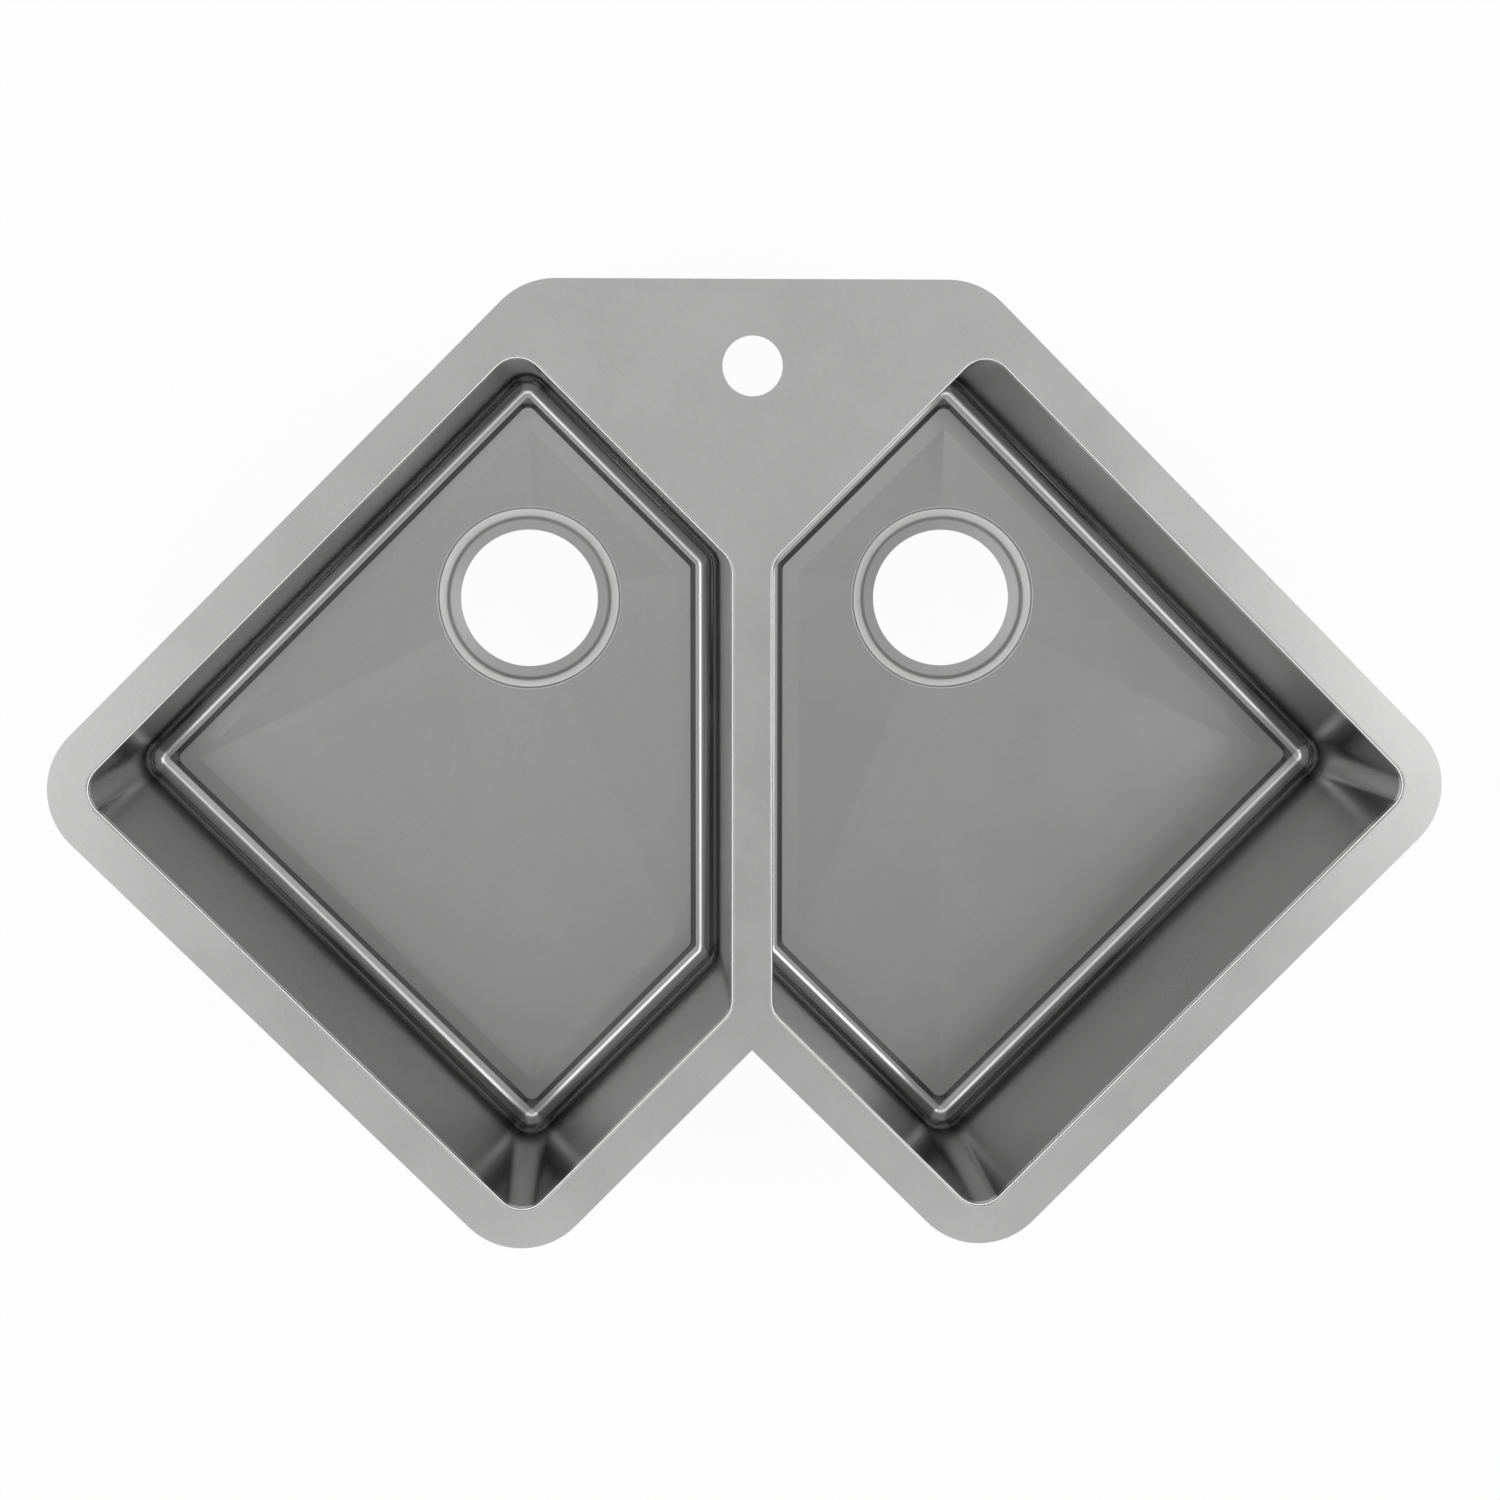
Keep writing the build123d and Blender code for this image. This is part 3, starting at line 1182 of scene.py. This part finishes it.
# Walls darker than the floor, with a weaker reflection at grazing angles: painted shade, on a satin finish.
WALL_STEEL = SteelFinish(
    "satin_wall_steel_painted_shade", tone=0.46, tone_play=0.015, roughness=0.26, roughness_play=0.01, bump=0.006,
    cloud_play=0.02, edge_tone=0.78)
# Smoother steel on the floor's sweep, lighter than the floor: a painted highlight along the sweep.
POLISHED_SWEEP_STEEL_PAINTED_HIGHLIGHT = SteelFinish(
    "polished_sweep_steel_painted_highlight", tone=0.66, tone_play=0.01, roughness=0.16, roughness_play=0.01, bump=0.004)
ZINC_STEEL = SteelFinish(
    "zinc_stiffener_steel", tone=0.5, tone_play=0.05, roughness=0.45, roughness_play=0.05, bump=0.2,
    grain_angle=0.0, fineness=900.0, stretch=1.0)
UNDERCOAT = CoatFinish(
    "grey_undercoat", tone=0.2, tone_play=0.03, roughness=0.75, fineness=900.0, bump=0.6)
RUBBER = CoatFinish(
    "black_pad_rubber", tone=0.03, tone_play=0.008, roughness=0.7, fineness=1600.0, bump=0.35)
BOWL_FINISHES = {
    BowlZone.FLOOR: FLOOR_STEEL,
    BowlZone.WALL: WALL_STEEL,
    BowlZone.SWEEP: POLISHED_SWEEP_STEEL_PAINTED_HIGHLIGHT,
    BowlZone.GROOVE: GROOVE_STEEL,
    BowlZone.DRAIN: DRAIN_STEEL,
    BowlZone.BACK: UNDERCOAT,
}


@dataclass(frozen=True)
class SoftBox:
    """One rectangular studio lamp that looks straight down: width along X, length along Y, watts."""

    name: str
    place: tuple[float, float, float]
    width: float
    length: float
    power: float

    def hang(self) -> None:
        """Hang the lamp."""
        light = bpy.data.lights.new(self.name, "AREA")
        light.shape = "RECTANGLE"
        light.size, light.size_y = self.width, self.length
        light.energy = self.power
        lamp = bpy.data.objects.new(self.name, light)
        bpy.context.scene.collection.objects.link(lamp)
        lamp.location = self.place


@dataclass(frozen=True)
class Camera:
    """The camera that took the picture, almost straight above the sink.

    It looks straight down with the back edge at the top, and is then turned about the vector
    `turn` by that vector's length in degrees.
    """

    place: tuple[float, float, float] = (-81.6 * MM, 167.0 * MM, 1687.7 * MM)
    turn: tuple[float, float, float] = (-4.887, -2.719, -0.07)
    focal_pixels: float = 2892.6
    image_side: float = 1500.0
    sensor: float = 36.0
    sight: float = 20.0

    def stand(self) -> None:
        """Stand the camera up and make it the scene's."""
        data = bpy.data.cameras.new("camera")
        data.sensor_width = self.sensor
        data.lens = self.sensor * self.focal_pixels / self.image_side
        data.clip_end = self.sight
        camera = bpy.data.objects.new("camera", data)
        bpy.context.scene.collection.objects.link(camera)
        axis = Vector(self.turn)
        tilt = Matrix.Rotation(math.radians(axis.length), 4, axis)
        camera.matrix_world = Matrix.Translation(self.place) @ tilt
        bpy.context.scene.camera = camera


@dataclass
class Studio:
    """Floor, lamps, room and camera.

    A sky ring holds the Z of a direction of unit length and how much light comes from there.
    """

    floor_level: float
    floor_side: float = 8.0
    floor_tone: float = 0.8
    floor_glow: float = 1.1
    floor_glow_share: float = 0.85
    lamp_height: float = 2.2
    sky_rings: tuple[tuple[float, float], ...] = (
        (0.0, 1.6), (0.2, 1.5), (0.27, 0.75), (0.35, 0.3), (0.5, 0.2), (0.8, 0.2), (0.865, 0.45),
        (0.89, 0.95), (0.918, 1.15), (0.936, 0.8), (0.952, 0.38), (0.975, 0.35), (0.992, 0.5), (1.0, 0.56))
    boxes: list[SoftBox] = field(init=False)

    def __post_init__(self) -> None:
        """Place the lamps round the sink."""
        self.boxes = [
            SoftBox("left_box", (-0.94, 0.1, self.lamp_height), width=0.3, length=1.2, power=1.4),
            SoftBox("right_box", (1.12, 0.22, self.lamp_height), width=0.36, length=1.1, power=2.15),
            SoftBox("front_box", (-0.2, -1.08, self.lamp_height), width=1.5, length=0.3, power=0.9),
            SoftBox("back_box", (0.0, 0.5, self.lamp_height), width=1.2, length=0.7, power=0.36),
        ]

    def set_up(self) -> None:
        """Set the stage, the light and the view."""
        self.floor()
        self.sky()
        for box in self.boxes:
            box.hang()
        self.view()

    def view(self) -> None:
        """Stand the camera up and keep colours as they are written."""
        Camera().stand()
        bpy.context.scene.view_settings.view_transform = "Standard"

    def floor(self) -> None:
        """Lay a pale floor that shows white and keeps the sink's soft shadow.

        The camera and reflections see mostly a glow, and other rays meet a matt floor.
        """
        bpy.ops.object.select_all(action="DESELECT")
        bpy.ops.mesh.primitive_plane_add(size=self.floor_side, location=(0, 0, self.floor_level))
        floor = bpy.context.object
        floor.name = "floor"
        bpy.ops.object.transform_apply(location=True, rotation=True, scale=True)
        material = bpy.data.materials.new("white_floor")
        material.use_nodes = True
        sheet = NodeSheet(material.node_tree)
        path = sheet.add("ShaderNodeLightPath").outputs
        seen = path["Is Camera Ray"]
        for ray in ("Is Glossy Ray", "Is Transmission Ray"):
            seen = sheet.combine("MAXIMUM", seen, path[ray])
        tone = self.floor_tone
        glow = sheet.add("ShaderNodeEmission", Color=(1.0, 1.0, 1.0, 1.0), Strength=self.floor_glow)
        matt = sheet.add("ShaderNodeBsdfDiffuse", Color=(tone, tone, tone, 1.0))
        mix = sheet.add("ShaderNodeMixShader")
        sheet.feed(mix.inputs[0], sheet.spread(seen, 0.0, self.floor_glow_share))
        sheet.feed(mix.inputs[1], matt.outputs["BSDF"])
        sheet.feed(mix.inputs[2], glow.outputs["Emission"])
        sheet.add("ShaderNodeOutputMaterial", Surface=mix.outputs["Shader"])
        floor.data.materials.append(material)
        floor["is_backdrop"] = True

    def sky(self) -> None:
        """Light the room in soft rings: a bright horizon, a dim wall and a round lamp overhead."""
        world = bpy.data.worlds.new("room")
        bpy.context.scene.world = world
        world.use_nodes = True
        sheet = NodeSheet(world.node_tree)
        outward = sheet.add("ShaderNodeTexCoord").outputs["Generated"]
        height = sheet.add("ShaderNodeSeparateXYZ", Vector=outward).outputs["Z"]
        rings = sheet.add("ShaderNodeValToRGB", Fac=height)
        brightest = max(strength for _, strength in self.sky_rings)
        stops = rings.color_ramp.elements
        while len(stops) < len(self.sky_rings):
            stops.new(0.5)
        for stop, (place, _) in zip(stops, self.sky_rings):
            stop.position = place
        for stop, (_, strength) in zip(stops, self.sky_rings):
            level = strength / brightest
            stop.color = (level, level, level, 1.0)
        room = sheet.add("ShaderNodeBackground", Color=rings.outputs["Color"], Strength=brightest)
        sheet.add("ShaderNodeOutputWorld", Surface=room.outputs["Background"])


@dataclass
class Sink:
    """The whole sink: its new pieces and its dressed CAD nodes."""

    sizes: SinkSizes = SinkSizes()

    def build(self, nodes: dict[str, bpy.types.Object]) -> None:
        """Build every new piece in the place of its CAD node, and dress them and the other nodes.

        Args:
            nodes: The CAD nodes by name.
        """
        deck = Deck(self.sizes).build()
        self.dress(deck, [DECK_STEEL.material(), RIM_STEEL.material()], "deck_steel")
        self.place(deck, "deck")
        bowl_finishes = [BOWL_FINISHES[zone].material() for zone in BowlZone]
        for side, bowl in Bowls(self.sizes).build().items():
            self.dress(bowl, bowl_finishes, "bowl_steel")
            self.place(bowl, f"{side.name.lower()}_bowl")
        zinc, rubber = ZINC_STEEL.material(), RUBBER.material()
        for name, node in nodes.items():
            if name.endswith("_pad"):
                self.dress(node, [rubber], "pad_rubber")
            elif name == "tap_stiffener":
                self.dress(node, [zinc], "stiffener_steel")

    @staticmethod
    def dress(piece: bpy.types.Object, finishes: Sequence[bpy.types.Material], slot: str) -> None:
        """Give a piece its materials.

        The slots that are there are filled and not cleared, which would lose each face's slot.

        Args:
            piece: The piece.
            finishes: Its materials, in the order of its material slots.
            slot: Not used.
        """
        slots = piece.data.materials
        for index, finish in enumerate(finishes):
            if index < len(slots):
                slots[index] = finish
            else:
                slots.append(finish)

    @staticmethod
    def place(piece: bpy.types.Object, node: str) -> None:
        """Let a piece ride on the sink's one body in the place of a CAD node.

        Args:
            piece: The piece.
            node: The CAD node's name.
        """
        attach(piece, BODY)
        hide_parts(node)
        LOG.info("%s stands for %s: %d faces", piece.name, node, len(piece.data.polygons))


def main() -> None:
    """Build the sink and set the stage."""
    logging.basicConfig(level=logging.INFO, format="%(levelname)s %(message)s")
    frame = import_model()
    cad_box = [list(corner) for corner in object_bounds()]
    Sink().build(frame["nodes"])
    Studio(floor_level=cad_box[0][2]).set_up()


if __name__ == "__main__":
    main()
